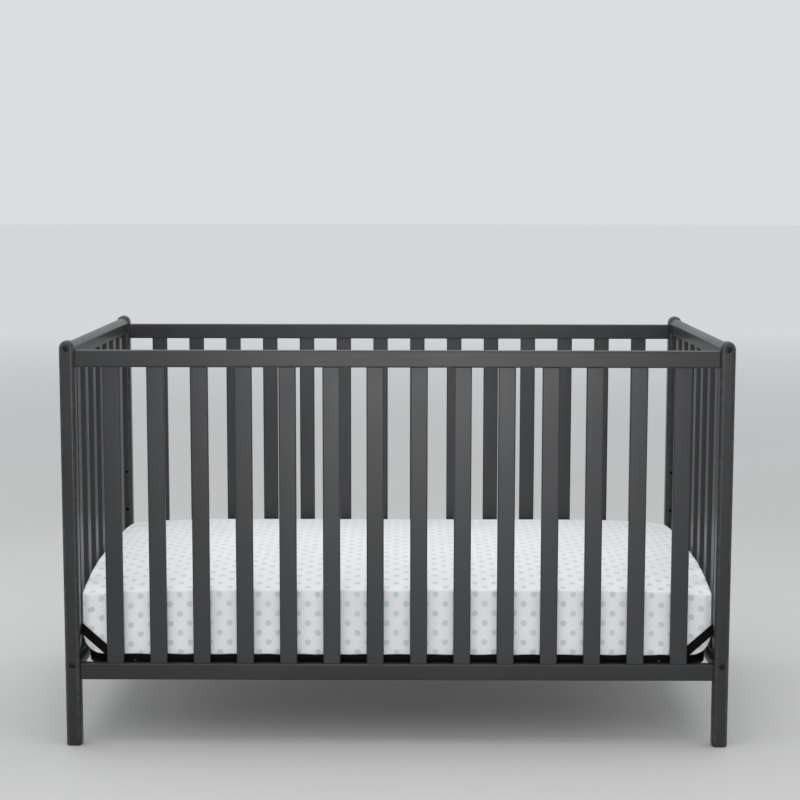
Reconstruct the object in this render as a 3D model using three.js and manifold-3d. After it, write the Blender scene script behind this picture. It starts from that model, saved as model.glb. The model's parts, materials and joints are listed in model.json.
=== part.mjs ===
// A full-size slatted baby crib: a wooden frame, a steel mattress support hung between its posts
// at one of three heights, and a mattress in a fitted sheet.
// Millimetres. +X runs along the length, -Y is the front, +Z is up, and the floor is Z = 0.
import * as THREE from 'three';
import { mergeVertices } from 'three/addons/utils/BufferGeometryUtils.js';
import Module from 'manifold-3d';

// ---- Driving dimensions ----
const interiorLength = 1330; // clear length between the posts
const interiorDepth = 710; // clear depth between the side rails
const postHeight = 857;
const postWidth = 32; // along X, and the diameter of the half-round top
const postDepth = 32; // along Y
const footRound = 4; // rounding under the foot
const postRound = 8; // rounded long edges of a post, and of its top
const edgeRound = 3; // softened edge of a rail

const railHeight = 35;
const railThickness = 20;
const railSetback = 8; // outer face of a side rail, behind the posts' outer faces
const sideTopRailDrop = 20; // top of a side top rail, below the posts' tops
const sideBottomRailBase = 141;

const endRailWidth = 26; // along X, and the diameter of the half-round top rail
const endTopRailDrop = 5; // top of the end top rail, below the posts' tops
const endBottomRailMiddle = 174; // also the height of its bolts

const slatWidth = 36;
const slatThickness = 12;
const slatEdge = 2.5;
const slatsPerSide = 14;
const slatsPerEnd = 7;
const mortiseDepth = 12;

const boltShank = 6;
const boltHead = 12;
const boltHeadHeight = 5;
const boltSocket = 5; // across the corners of the hexagon
const boltSocketDepth = 3;
const boltRecess = 1; // top of a bolt head, below the post's face
const boltReach = 42; // shank inside the rail
const barrelNut = 10;
const barrelNutInset = 32; // centre of the nut, from the rail's end
const barrelNutPast = 2; // blind hole from the rail's underside, past the nut

const heightHole = 7;
const heightHoleDepth = 22;
const heightHoleInset = 12; // from the post's inner X face
const heightHoleLow = 279;
const heightHoleStep = 95;
const heightHoleCount = 3;

const angleLeg = 25; // vertical leg of the support frame's angle iron
const angleShelf = 22; // horizontal leg
const angleWall = 2.5;
const supportCorner = 80;
const supportEndGap = 3; // between the support frame and the plane of the posts' inner X faces
const supportDrop = 91; // top of the support frame, below the hanger bolts

const hangerWidth = 18;
const hangerThickness = 3;
const hangerHole = 6.5;
const hangerTab = 23; // straight part below the bolt
const hangerRun = 89; // sideways reach of the sloping part
const hangerFoot = 40; // part that lies along the support frame

const deckWire = 3.5;
const deckGap = 26; // spring space between the deck and the support frame's shelf
const deckWeld = 0.5; // how far crossing wires sink into each other
const deckCellsLong = 9;
const deckCellsDeep = 5;

const mattressHeight = 169; // at the middle of its crown
const mattressCorner = 22;
const mattressEndGap = 1.5; // to the end rails
const mattressSideGap = 0.7; // to the hangers
// Sections from the base up: [height as a share, how far in from the ends, from the front, from the rear].
const mattressForm = [
  [0, 34, 8, 8],
  [0.06, 16, 1, 1],
  [0.2, 0, 0, 0],
  [0.83, 0, 0, 0],
  [0.893, 3, 47, 0],
  [0.947, 6, 115, 0],
  [0.965, 8, 150, 3],
  [0.99, 60, 230, 12],
  [1, 250, 330, 60],
];
const sheetThickness = 1.5;
const sheetHem = 70; // width of the sheet tucked under the mattress

const seat = 0.3; // gap left where two pieces touch
const fit = 0.5; // clearance round a shank or in a hole

// ---- Sizes that follow ----
const halfLength = interiorLength / 2; // posts' inner X faces
const postX = halfLength + postWidth / 2;
const railOuterY = interiorDepth / 2 + railThickness;
const postOuterY = railOuterY + railSetback;
const postY = postOuterY - postDepth / 2;
const postInnerY = postOuterY - postDepth;
const sideRailY = railOuterY - railThickness / 2;
const sideTopRailTop = postHeight - sideTopRailDrop;
const endTopRailTop = postHeight - endTopRailDrop;
const endTopBolt = postHeight - postWidth / 2;
const endBottomRailTop = endBottomRailMiddle + railHeight / 2;
const sideTopRailMiddle = sideTopRailTop - railHeight / 2;
const sideBottomRailMiddle = sideBottomRailBase + railHeight / 2;
const heightHoleX = halfLength + heightHoleInset;

const hangerOuterY = postInnerY - seat;
const hangerInnerY = hangerOuterY - hangerThickness;
const supportHalfLength = halfLength - supportEndGap;
const supportHalfDepth = hangerInnerY - seat;
const supportTop = heightHoleLow - supportDrop;

const mattressBase = supportTop + seat;
const mattressHalfLength = postX - endRailWidth / 2 - mattressEndGap;
const mattressHalfDepth = hangerInnerY - mattressSideGap;

// ---- Materials ----
const paint = () => new THREE.MeshStandardMaterial({ color: 0x3b3d40, roughness: 0.45, metalness: 0 });
const blackSteel = () => new THREE.MeshStandardMaterial({ color: 0x141416, roughness: 0.4, metalness: 0.7 });
const blackBolt = () => new THREE.MeshStandardMaterial({ color: 0x1b1b1d, roughness: 0.35, metalness: 0.9 });
const ticking = () => new THREE.MeshStandardMaterial({ color: 0xe9e7e2, roughness: 0.9, metalness: 0 });
const cotton = () => new THREE.MeshStandardMaterial({ color: 0xf0f1f2, roughness: 0.85, metalness: 0 });

// ---- Solids ----
const wasm = await Module();
wasm.setup();

// Turns a closed three.js geometry into a solid that can be joined and cut.
function solidOf(geometry) {
  const bare = geometry.index ? geometry.toNonIndexed() : geometry.clone();
  bare.deleteAttribute('normal');
  bare.deleteAttribute('uv');
  const merged = mergeVertices(bare, 1e-4);
  const corners = merged.index.array;
  const kept = [];
  for (let i = 0; i < corners.length; i += 3) {
    const [a, b, c] = [corners[i], corners[i + 1], corners[i + 2]];
    if (a !== b && b !== c && c !== a) kept.push(a, b, c);
  }
  return new wasm.Manifold(new wasm.Mesh({
    numProp: 3,
    vertProperties: new Float32Array(merged.attributes.position.array),
    triVerts: new Uint32Array(kept),
  }));
}

function geometryOf(solid) {
  const mesh = solid.getMesh();
  const geometry = new THREE.BufferGeometry();
  geometry.setAttribute('position', new THREE.BufferAttribute(mesh.vertProperties, 3));
  geometry.setIndex(new THREE.BufferAttribute(mesh.triVerts, 1));
  geometry.computeVertexNormals();
  return geometry;
}

// Where a drawn outline lies once it is extruded along X, Y or Z.
const [axisX, axisY, axisZ] = [[1, 0, 0], [0, 1, 0], [0, 0, 1]].map((v) => new THREE.Vector3(...v));
const lay = {
  x: new THREE.Matrix4().makeBasis(axisY, axisZ, axisX), // outline drawn in Y, Z
  y: new THREE.Matrix4().makeBasis(axisX, axisZ, axisY.clone().negate()), // outline drawn in X, Z
  z: new THREE.Matrix4(), // outline drawn in X, Y
};

// An outline extruded over a length centred on the origin, with its end edges rounded by `bevel`.
function prism(outline, length, along, { bevel = 0, bevelSegments = 2, curveSegments = 1 } = {}) {
  const geometry = new THREE.ExtrudeGeometry(outline, {
    depth: length - 2 * bevel,
    bevelEnabled: bevel > 0,
    bevelThickness: bevel,
    bevelSize: bevel,
    bevelOffset: -bevel,
    bevelSegments,
    curveSegments,
    steps: 1,
  });
  geometry.translate(0, 0, bevel - length / 2);
  return solidOf(geometry.applyMatrix4(lay[along]));
}

function roundedRect(width, height, radius, path = new THREE.Shape()) {
  const [x, y] = [width / 2 - radius, height / 2 - radius];
  path.absarc(x, y, radius, 0, Math.PI / 2);
  path.absarc(-x, y, radius, Math.PI / 2, Math.PI);
  path.absarc(-x, -y, radius, Math.PI, 1.5 * Math.PI);
  path.absarc(x, -y, radius, 1.5 * Math.PI, 2 * Math.PI);
  path.closePath();
  return path;
}

// An upright section with a half-round top, from `base` up to `top`.
function archedSection(width, base, top, cornerRadius) {
  const [half, r] = [width / 2, cornerRadius];
  const shape = new THREE.Shape();
  shape.absarc(half - r, base + r, r, -Math.PI / 2, 0);
  const steps = 12;
  for (let i = 0; i <= steps; i += 1) {
    const turn = (Math.PI * i) / steps;
    shape.lineTo(half * Math.cos(turn), top - half + half * Math.sin(turn));
  }
  shape.absarc(r - half, base + r, r, Math.PI, 1.5 * Math.PI);
  shape.closePath();
  return shape;
}

function box(sizeX, sizeY, sizeZ, [x, y, z]) {
  return solidOf(new THREE.BoxGeometry(sizeX, sizeY, sizeZ).translate(x, y, z));
}

// A round bar or bore between two points.
function round(diameter, from, to, sides = 10) {
  const [a, b] = [new THREE.Vector3(...from), new THREE.Vector3(...to)];
  const run = b.clone().sub(a);
  const geometry = new THREE.CylinderGeometry(diameter / 2, diameter / 2, run.length(), sides);
  geometry.applyQuaternion(new THREE.Quaternion().setFromUnitVectors(axisY, run.clone().normalize()));
  geometry.translate(...a.add(b).multiplyScalar(0.5));
  return solidOf(geometry);
}

const crib = new THREE.Group();

function addPiece(name, solid, material, [x, y, z] = [0, 0, 0]) {
  const mesh = new THREE.Mesh(geometryOf(solid), material);
  mesh.name = name;
  mesh.position.set(x, y, z);
  crib.add(mesh);
}

// The four corners: the sign of X is the end, the sign of Y is the side.
const ends = [['left', -1], ['right', 1]];
const sides = [['front', -1], ['rear', 1]];
const corners = sides.flatMap(([side, sy]) => ends.map(([end, sx]) => [`${side}_${end}`, sx, sy]));

// ---- Posts ----
// A post before it is drilled: drawn long below the floor, then trimmed to a foot with a smaller rounding.
function postBlank() {
  const corner = 1.5 * postRound;
  const outline = archedSection(postWidth, -2 * corner, postHeight, corner);
  const long = prism(outline, postDepth, 'y', { bevel: postRound, bevelSegments: 3 });
  const tall = 2 * postHeight;
  const trim = (width, length, along) =>
    prism(roundedRect(width, tall, footRound), length + 2, along).translate([0, 0, tall / 2]);
  return long.intersect(trim(postWidth, postDepth, 'y')).intersect(trim(postDepth, postWidth, 'x'));
}

// Each is modelled about its own foot, with signs for the corner that it stands in.
function post(sx, sy) {
  let solid = postBlank();
  const [outerY, innerY] = [sy * postDepth / 2, -sy * postDepth / 2];
  const counterbore = boltRecess + boltHeadHeight + seat;
  for (const z of [endTopBolt, endBottomRailMiddle]) {
    solid = solid.subtract(round(boltShank + 2 * fit, [0, outerY + sy, z], [0, innerY - sy, z]));
    solid = solid.subtract(round(boltHead + 2 * fit, [0, outerY + sy, z], [0, outerY - sy * counterbore, z], 14));
  }
  const railBoltY = sy * (sideRailY - postY);
  const [outerX, innerX] = [sx * postWidth / 2, -sx * postWidth / 2];
  for (const z of [sideTopRailMiddle, sideBottomRailMiddle]) {
    solid = solid.subtract(round(boltShank + 2 * fit, [outerX + sx, railBoltY, z], [innerX - sx, railBoltY, z]));
    solid = solid.subtract(
      round(boltHead + 2 * fit, [outerX + sx, railBoltY, z], [outerX - sx * counterbore, railBoltY, z], 14),
    );
  }
  const holeX = sx * (heightHoleX - postX);
  for (let i = 0; i < heightHoleCount; i += 1) {
    const z = heightHoleLow + i * heightHoleStep;
    solid = solid.subtract(round(heightHole, [holeX, innerY - sy, z], [holeX, innerY + sy * heightHoleDepth, z]));
  }
  return solid;
}

for (const [corner, sx, sy] of corners) {
  addPiece(`post_${corner}`, post(sx, sy), paint(), [sx * postX, sy * postY, 0]);
}

// ---- Side rails and slats ----
const sideGap = (interiorLength - slatsPerSide * slatWidth) / (slatsPerSide + 1);
const slatX = (i) => -halfLength + sideGap + slatWidth / 2 + i * (slatWidth + sideGap);

// A rail along X about its own middle; `open` is 1 with mortises in its top, -1 in its underside.
function sideRail(open) {
  const length = interiorLength - 2 * seat;
  let solid = prism(roundedRect(railThickness, railHeight, edgeRound), length, 'x');
  for (let i = 0; i < slatsPerSide; i += 1) {
    const z = open * (railHeight / 2 - mortiseDepth / 2 + 1);
    const [across, through] = [slatWidth + 2 * seat, slatThickness + 2 * seat];
    solid = solid.subtract(box(across, through, mortiseDepth + 2, [slatX(i), 0, z]));
  }
  for (const [, sx] of ends) {
    const [tip, deep, nutX] = [halfLength + 1, halfLength - boltReach - fit, halfLength - barrelNutInset];
    solid = solid.subtract(round(boltShank + 2 * fit, [sx * tip, 0, 0], [sx * deep, 0, 0]));
    const [underside, blind] = [-railHeight / 2 - 1, barrelNut / 2 + barrelNutPast];
    solid = solid.subtract(round(barrelNut, [sx * nutX, 0, underside], [sx * nutX, 0, blind]));
  }
  return solid;
}

for (const [side, sy] of sides) {
  addPiece(`${side}_top_rail`, sideRail(-1), paint(), [0, sy * sideRailY, sideTopRailMiddle]);
  addPiece(`${side}_bottom_rail`, sideRail(1), paint(), [0, sy * sideRailY, sideBottomRailMiddle]);
}

const sideSlatBase = sideBottomRailBase + railHeight - mortiseDepth + seat;
const sideSlatTop = sideTopRailTop - railHeight + mortiseDepth - seat;
const sideSlatMiddle = (sideSlatBase + sideSlatTop) / 2;
const sideSlatOutline = roundedRect(slatWidth, slatThickness, slatEdge);

for (const [side, sy] of sides) {
  for (let i = 0; i < slatsPerSide; i += 1) {
    const slat = prism(sideSlatOutline, sideSlatTop - sideSlatBase, 'z');
    const name = `${side}_slat_${String(i + 1).padStart(2, '0')}`;
    addPiece(name, slat, paint(), [slatX(i), sy * sideRailY, sideSlatMiddle]);
  }
}

// ---- End rails and slats ----
const endGap = (2 * postInnerY - slatsPerEnd * slatWidth) / (slatsPerEnd + 1);
const slatY = (i) => -postInnerY + endGap + slatWidth / 2 + i * (slatWidth + endGap);
const stripLength = 2 * (postInnerY - endGap); // from the first slat's far edge to the last one's

// An end rail along Y about X = 0; a stopped groove takes the end slats' tenon strip.
function endRail(outline, boltZ, grooveZ, underside) {
  let solid = prism(outline, 2 * (postInnerY - seat), 'y');
  const groove = [slatThickness + 2 * seat, stripLength + 2 * seat, mortiseDepth + 2];
  solid = solid.subtract(box(...groove, [0, 0, grooveZ]));
  for (const [, sy] of sides) {
    const [tip, deep, nutY] = [postInnerY + 1, postInnerY - boltReach - fit, postInnerY - barrelNutInset];
    solid = solid.subtract(round(boltShank + 2 * fit, [0, sy * tip, boltZ], [0, sy * deep, boltZ]));
    const blind = boltZ + barrelNut / 2 + barrelNutPast;
    solid = solid.subtract(round(barrelNut, [0, sy * nutY, underside - 1], [0, sy * nutY, blind]));
  }
  return solid;
}

const endTopRailBase = endTopRailTop - railHeight;
const endBottomRailBase = endBottomRailTop - railHeight;
const endTopOutline = archedSection(endRailWidth, endTopRailBase, endTopRailTop, edgeRound);
const endBottomOutline = roundedRect(endRailWidth, railHeight, edgeRound);

for (const [end, sx] of ends) {
  const topGroove = endTopRailBase + mortiseDepth / 2 - 1;
  const bottomGroove = railHeight / 2 - mortiseDepth / 2 + 1;
  const topRail = endRail(endTopOutline, endTopBolt, topGroove, endTopRailBase);
  addPiece(`${end}_top_rail`, topRail, paint(), [sx * postX, 0, 0]);
  const bottomRail = endRail(endBottomOutline, 0, bottomGroove, -railHeight / 2);
  addPiece(`${end}_bottom_rail`, bottomRail, paint(), [sx * postX, 0, endBottomRailMiddle]);
}

// Seven slats on two tenon strips that fill the rails' grooves.
function endSlats() {
  const [base, top] = [endBottomRailTop - mortiseDepth + seat, endTopRailBase + mortiseDepth - seat];
  const strip = (low, high) => box(slatThickness, stripLength, high - low, [0, 0, (low + high) / 2]);
  let solid = strip(base, endBottomRailTop).add(strip(endTopRailBase, top));
  const outline = roundedRect(slatThickness, slatWidth, slatEdge);
  for (let i = 0; i < slatsPerEnd; i += 1) {
    const slat = prism(outline, top - base, 'z');
    solid = solid.add(slat.translate([0, slatY(i), (base + top) / 2]));
  }
  return solid;
}

for (const [end, sx] of ends) {
  addPiece(`${end}_end_slats`, endSlats(), paint(), [sx * postX, 0, 0]);
}

// ---- End-rail bolts ----
// A socket-head bolt about the centre of its head's face, pointing inwards.
function endBolt(sy) {
  const shankEnd = postDepth - boltRecess + boltReach;
  let solid = round(boltHead, [0, 0, 0], [0, -sy * boltHeadHeight, 0], 14);
  solid = solid.add(round(boltShank, [0, -sy, 0], [0, -sy * shankEnd, 0], 10));
  return solid.subtract(round(boltSocket, [0, sy, 0], [0, -sy * boltSocketDepth, 0], 6));
}

for (const [corner, sx, sy] of corners) {
  const face = sy * (postOuterY - boltRecess);
  addPiece(`top_bolt_${corner}`, endBolt(sy), blackBolt(), [sx * postX, face, endTopBolt]);
  addPiece(`bottom_bolt_${corner}`, endBolt(sy), blackBolt(), [sx * postX, face, endBottomRailMiddle]);
}

// ---- Mattress support ----
// A flat ring in plan, from the support frame's outline inwards.
function supportRing(width, height) {
  const [length, depth] = [2 * supportHalfLength, 2 * supportHalfDepth];
  const outline = roundedRect(length, depth, supportCorner);
  outline.holes.push(roundedRect(length - 2 * width, depth - 2 * width, supportCorner - width, new THREE.Path()));
  return prism(outline, height, 'z', { curveSegments: 4 }).translate([0, 0, -height / 2]);
}

const supportFrame = supportRing(angleWall, angleLeg).add(supportRing(angleShelf, angleWall));
addPiece('support_frame', supportFrame, blackSteel(), [0, 0, supportTop]);

// A welded wire grid inside the frame: the long wires lie on the cross wires.
function springDeck() {
  const length = 2 * (supportHalfLength - angleShelf - deckGap);
  const depth = 2 * (supportHalfDepth - angleShelf - deckGap);
  const spread = (size, cells, i) => (i / cells - 0.5) * (size - 2 * deckWire);
  const wires = [];
  for (let i = 0; i <= deckCellsLong; i += 1) {
    wires.push(box(deckWire, depth, deckWire, [spread(length, deckCellsLong, i), 0, deckWeld - deckWire]));
  }
  for (let j = 0; j <= deckCellsDeep; j += 1) {
    wires.push(box(length, deckWire, deckWire, [0, spread(depth, deckCellsDeep, j), 0]));
  }
  return wires.reduce((grid, wire) => grid.add(wire));
}

addPiece('spring_deck', springDeck(), blackSteel(), [0, 0, supportTop - deckWire / 2 - seat]);

// A flat strap: a tab on the post, a slope inwards, and a foot along the support frame.
function hanger(sx, sy) {
  const footZ = supportTop - angleLeg / 2;
  const tab = [heightHoleX, heightHoleLow];
  const knee = [heightHoleX, heightHoleLow - hangerTab];
  const heel = [heightHoleX - hangerRun, footZ];
  const toe = [heightHoleX - hangerRun - hangerFoot, footZ];
  const y = sy * (hangerInnerY + hangerOuterY) / 2;
  const link = ([ax, az], [bx, bz]) => {
    const [dx, dz] = [sx * (bx - ax), bz - az];
    const reach = Math.hypot(dx, dz) + hangerWidth;
    const bar = prism(roundedRect(reach, hangerWidth, hangerWidth / 2 - 0.01), hangerThickness, 'y');
    const tilt = (-Math.atan2(dz, dx) * 180) / Math.PI;
    return bar.rotate([0, tilt, 0]).translate([sx * (ax + bx) / 2, y, (az + bz) / 2]);
  };
  const strap = link(tab, knee).add(link(knee, heel)).add(link(heel, toe));
  const [boltX, boltZ] = [sx * heightHoleX, heightHoleLow];
  return strap.subtract(round(hangerHole, [boltX, y - hangerThickness, boltZ], [boltX, y + hangerThickness, boltZ]));
}

for (const [corner, sx, sy] of corners) {
  addPiece(`hanger_${corner}`, hanger(sx, sy), blackSteel());
}

// ---- Mattress and sheet ----
// A crowned cushion standing on Z = 0: the hull of its sections. `inset` shrinks it all round.
function cushion(inset) {
  const height = mattressHeight - 2 * inset;
  const points = mattressForm.flatMap(([share, fromEnd, fromFront, fromRear]) => {
    const length = 2 * (mattressHalfLength - fromEnd - inset);
    const depth = 2 * (mattressHalfDepth - inset) - fromFront - fromRear;
    const section = roundedRect(length, depth, mattressCorner - inset).getPoints(2);
    return section.map(({ x, y }) => [x, y + (fromFront - fromRear) / 2, inset + share * height]);
  });
  return wasm.Manifold.hull(points);
}

const opening = [mattressHalfLength, mattressHalfDepth].map((half) => 2 * (half - sheetHem));
const sheetMouth = prism(roundedRect(...opening, sheetHem), mattressHeight, 'z', { curveSegments: 2 });
const fittedSheet = cushion(0).subtract(cushion(sheetThickness)).subtract(sheetMouth);

addPiece('mattress_core', cushion(sheetThickness + seat), ticking(), [0, 0, mattressBase]);
addPiece('fitted_sheet', fittedSheet, cotton(), [0, 0, mattressBase]);

export default crib;
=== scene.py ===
"""A full-size baby crib: painted wooden frame, steel mattress support, and a mattress in a fitted sheet.

Metres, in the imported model's own frame: +X along the length, -Y the front, +Z up, the floor at Z = 0.
"""

import json
import math
import random

import bmesh
import bpy
import numpy as np
from mathutils import Matrix, Vector


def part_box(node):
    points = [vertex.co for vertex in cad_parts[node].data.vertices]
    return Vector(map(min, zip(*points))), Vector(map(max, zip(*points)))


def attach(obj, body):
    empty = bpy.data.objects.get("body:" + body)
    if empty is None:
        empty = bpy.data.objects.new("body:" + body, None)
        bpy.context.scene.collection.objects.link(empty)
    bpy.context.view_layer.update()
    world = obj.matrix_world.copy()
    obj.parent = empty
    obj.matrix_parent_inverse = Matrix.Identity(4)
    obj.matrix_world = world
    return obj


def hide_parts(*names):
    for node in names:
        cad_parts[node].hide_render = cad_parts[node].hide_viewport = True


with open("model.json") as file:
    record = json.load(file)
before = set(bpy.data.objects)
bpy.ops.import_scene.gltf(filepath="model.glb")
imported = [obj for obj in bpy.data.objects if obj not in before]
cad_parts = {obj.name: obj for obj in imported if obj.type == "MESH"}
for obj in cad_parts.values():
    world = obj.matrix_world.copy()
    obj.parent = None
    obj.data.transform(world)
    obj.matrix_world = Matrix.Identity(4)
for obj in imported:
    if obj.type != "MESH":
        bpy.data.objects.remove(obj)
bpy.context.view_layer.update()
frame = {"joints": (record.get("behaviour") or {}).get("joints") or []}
dice = random.Random(7)

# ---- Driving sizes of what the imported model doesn't hold ----
POST_ROUND = 0.008
WOOD_ROUND = 0.003  # rails
SLAT_ROUND = 0.0025
TIP_ROUND = 0.0004  # cut ends of the end top rails, and the strips between the end slats
FOOT_ROUND = 0.004
SLATS_PER_SIDE = 14
SLATS_PER_END = 7
SEAT = 0.0003  # gap where two pieces touch
MORTISE = 0.012
CUT_PAST = 0.002  # how far a cutter starts outside the wood

BOLT_HEAD = 0.012  # diameters
BOLT_SHANK = 0.006
BOLT_HEAD_HEIGHT = 0.005
BOLT_SOCKET = 0.0046  # across flats
BOLT_RECESS = 0.001
BOLT_REACH = 0.042  # shank inside a rail
BORE_FIT = 0.0005
BARREL_NUT = 0.010
BARREL_NUT_LENGTH = 0.015
BARREL_NUT_INSET = 0.032  # from the rail's end
BARREL_NUT_RECESS = 0.0015  # least depth below the rail's underside
HEIGHT_HOLE = 0.007
HEIGHT_HOLE_DEPTH = 0.022
HEIGHT_HOLES = 3
INSERT_LENGTH = 0.014

STRAP_WIDTH = 0.018
STRAP_ROUND = 0.0006
STRAP_TAB = 0.023
STRAP_FOOT = 0.040
RIVET_HEAD = 0.009

SUPPORT_CORNER = 0.080
SUPPORT_WALL = 0.0025
SUPPORT_SHELF = 0.022  # horizontal leg of the angle iron
DECK_WIRE = 0.003
DECK_LONG_WIRES = 9
DECK_CROSS_WIRES = 19
SPRING_COIL = 0.0062
SPRING_WIRE = 0.0013
SPRINGS_LONG = 11
SPRINGS_END = 5

MATTRESS_CORNER = 0.022  # in plan
MATTRESS_CREASE = 0.007  # rounding where the top meets the sides
MATTRESS_UNDER = 0.003  # rounding where the sides turn under
MATTRESS_TUCK = (0.026, 0.024)  # larger rounding under the ends, and what the corners add to it
MATTRESS_CROWN = (0.028, 0.005, 0.006, 0.008)  # fall of the top to the front, rear, ends, and corners
SHEET_THICKNESS = 0.0010
SHEET_HEM = 0.070
HEM_TAPE = 0.0045
DOT_PITCH = 0.0415  # along a column, and across two columns
DOT_RADIUS = 0.0063

CORNERS = [(f"{side}_{end}", sx, sy) for side, sy in (("front", -1), ("rear", 1))
           for end, sx in (("left", -1), ("right", 1))]


# ---- Node graphs ----
class Graph:
    """One material's nodes, added by short calls. A value given as an output socket is linked."""

    def __init__(self, name):
        self.material = bpy.data.materials.new(name)
        self.material.use_nodes = True
        self.tree = self.material.node_tree
        self.shader = self.tree.nodes["Principled BSDF"]

    def fill(self, socket, value):
        if isinstance(value, bpy.types.NodeSocket):
            self.tree.links.new(value, socket)
        else:
            socket.default_value = value

    def add(self, kind, settings=(), **values):
        """A node; values are its inputs by name, with _ for a space, or iN for input number N."""
        node = self.tree.nodes.new("ShaderNode" + kind)
        for key, value in dict(settings).items():
            setattr(node, key, value)
        for key, value in values.items():
            number = key[1:]
            name = int(number) if key[0] == "i" and number.isdigit() else key.replace("_", " ")
            self.fill(node.inputs[name], value)
        return node.outputs

    def surface(self, **values):
        for key, value in values.items():
            self.fill(self.shader.inputs[key.replace("_", " ")], value)
        return self.material

    def math(self, operation, a, b=0.0):
        return self.add("Math", {"operation": operation}, i0=a, i1=b)[0]

    def ramp(self, value, low, high, start=0.0, end=1.0):
        """value from low..high taken to start..end, clamped."""
        return self.add("MapRange", i0=value, i1=low, i2=high, i3=start, i4=end)[0]

    def mix(self, share, a, b, blend="MIX"):
        return self.add("Mix", {"data_type": "RGBA", "blend_type": blend}, i0=share, i6=a, i7=b)[2]

    def noise(self, vector, scale, detail=2.0, roughness=0.5):
        return self.add("TexNoise", Vector=vector, Scale=scale, Detail=detail, Roughness=roughness)[0]

    def bands(self, way, **values):
        """Height of parallel rounded bands, one after another along X or Y."""
        settings = {"wave_type": "BANDS", "bands_direction": way, "wave_profile": "SIN"}
        return self.add("TexWave", settings, **values)[1]

    def vector(self, operation, **values):
        return self.add("VectorMath", {"operation": operation}, **values)

    def place(self, vector, scale, turn=0.0):
        return self.add("Mapping", Vector=vector, Scale=scale, Rotation=(0, 0, turn))[0]

    def bump(self, height, distance, strength):
        return self.add("Bump", Height=height, Distance=distance, Strength=strength)[0]

    def spot(self):
        """Where a point is on the object."""
        return self.add("TexCoord")[3]

    def attribute(self, name):
        return self.add("Attribute", {"attribute_name": name})[2]


def grey(level, cool=0.0):
    """A near-neutral linear colour; cool shifts it towards blue."""
    return (level * (1 - cool), level, level * (1 + 1.4 * cool), 1)


# ---- Materials ----
def satin_paint(name, along):
    """Charcoal paint over wood whose grain runs along one axis (0, 1 or 2)."""
    g = Graph(name)
    spot = g.spot()
    stretch = [90.0, 90.0, 90.0]
    stretch[along] = 3.2
    grain = g.noise(g.place(spot, stretch), 2.4, 4.0, 0.62)
    pores = g.noise(g.place(spot, [8 * s for s in stretch]), 2.0, 2.0, 0.5)
    mottle = g.noise(spot, 5.0, 3.0)
    peel = g.noise(spot, 700.0, 1.0)
    tone = g.mix(g.ramp(mottle, 0.3, 0.7), grey(0.013, 0.05), grey(0.018, 0.06))
    tone = g.mix(g.ramp(grain, 0.35, 0.7, 0.0, 0.35), tone, grey(0.011, 0.05))
    # tone lightens the paint: a little at random on posts and rails, much more on the slats, a painted
    # highlight, though all share one paint.
    tone = g.mix(g.attribute("tone"), tone, grey(0.028, 0.055))
    # Lighter roundings: partly abraded paint, partly a painted highlight along the rounded edges.
    rubbed_and_highlit = g.math("MULTIPLY", g.attribute("wear_and_highlight"), g.ramp(g.noise(spot, 60.0, 4.0), 0.45, 0.75, 0.10, 0.55))
    tone = g.mix(rubbed_and_highlit, tone, grey(0.075, 0.03))
    shine = g.ramp(g.math("ADD", mottle, g.math("MULTIPLY", grain, 0.5)), 0.5, 1.1, 0.28, 0.39)
    relief = g.math("ADD", g.math("MULTIPLY", grain, 0.8), g.math("MULTIPLY", pores, 0.35))
    relief = g.math("ADD", relief, g.math("MULTIPLY", peel, 0.3))
    return g.surface(Base_Color=tone, Roughness=shine, Normal=g.bump(relief, 0.00022, 0.55),
                     Specular_IOR_Level=0.42)


def powder_coat():
    """Black powder coat on steel: fine pebbled relief. Its near-zero black is deeper than the coat's own,
    painted shade for the support in shadow under the mattress.
    """
    g = Graph("black_powder_coat_and_painted_shade")
    spot = g.spot()
    pebble = g.noise(spot, 900.0, 2.0, 0.6)
    cloud = g.noise(spot, 9.0, 3.0)
    # Near-zero blacks: the coat's own black, deepened by painted shade.
    tone = g.mix(g.ramp(cloud, 0.3, 0.7), grey(0.0018), grey(0.0032))
    rubbed_and_highlit = g.math("MULTIPLY", g.attribute("wear_and_highlight"), g.ramp(g.noise(spot, 90.0, 3.0), 0.5, 0.75, 0.0, 0.6))
    tone = g.mix(rubbed_and_highlit, tone, grey(0.03))
    return g.surface(Base_Color=tone, Roughness=g.ramp(pebble, 0.3, 0.7, 0.48, 0.62),
                     Specular_IOR_Level=0.06, Normal=g.bump(pebble, 0.00012, 0.6))


def black_oxide():
    """Blackened steel of bolts, nuts and rivets, with fine turning marks."""
    g = Graph("black_oxide")
    spot = g.spot()
    cloud = g.noise(spot, 300.0, 3.0)
    marks = g.noise(g.place(spot, (4000, 4000, 400)), 1.0, 2.0)
    tone = g.mix(g.ramp(cloud, 0.35, 0.7), grey(0.016), grey(0.034))
    tone = g.mix(g.math("MULTIPLY", g.attribute("wear_and_highlight"), 0.6), tone, grey(0.10))
    return g.surface(Base_Color=tone, Metallic=0.85, Roughness=g.ramp(cloud, 0.3, 0.7, 0.30, 0.46),
                     Normal=g.bump(marks, 0.00004, 0.5))


def thread_lines(g, vector, pitch):
    """Height of a plain weave: rounded threads over and under each other."""
    waves = [g.bands(way, Vector=vector, Scale=0.314 / pitch, Distortion=0.35, Detail=1.0, Detail_Scale=1.5)
             for way in "XY"]
    return g.math("MAXIMUM", *waves)


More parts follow.
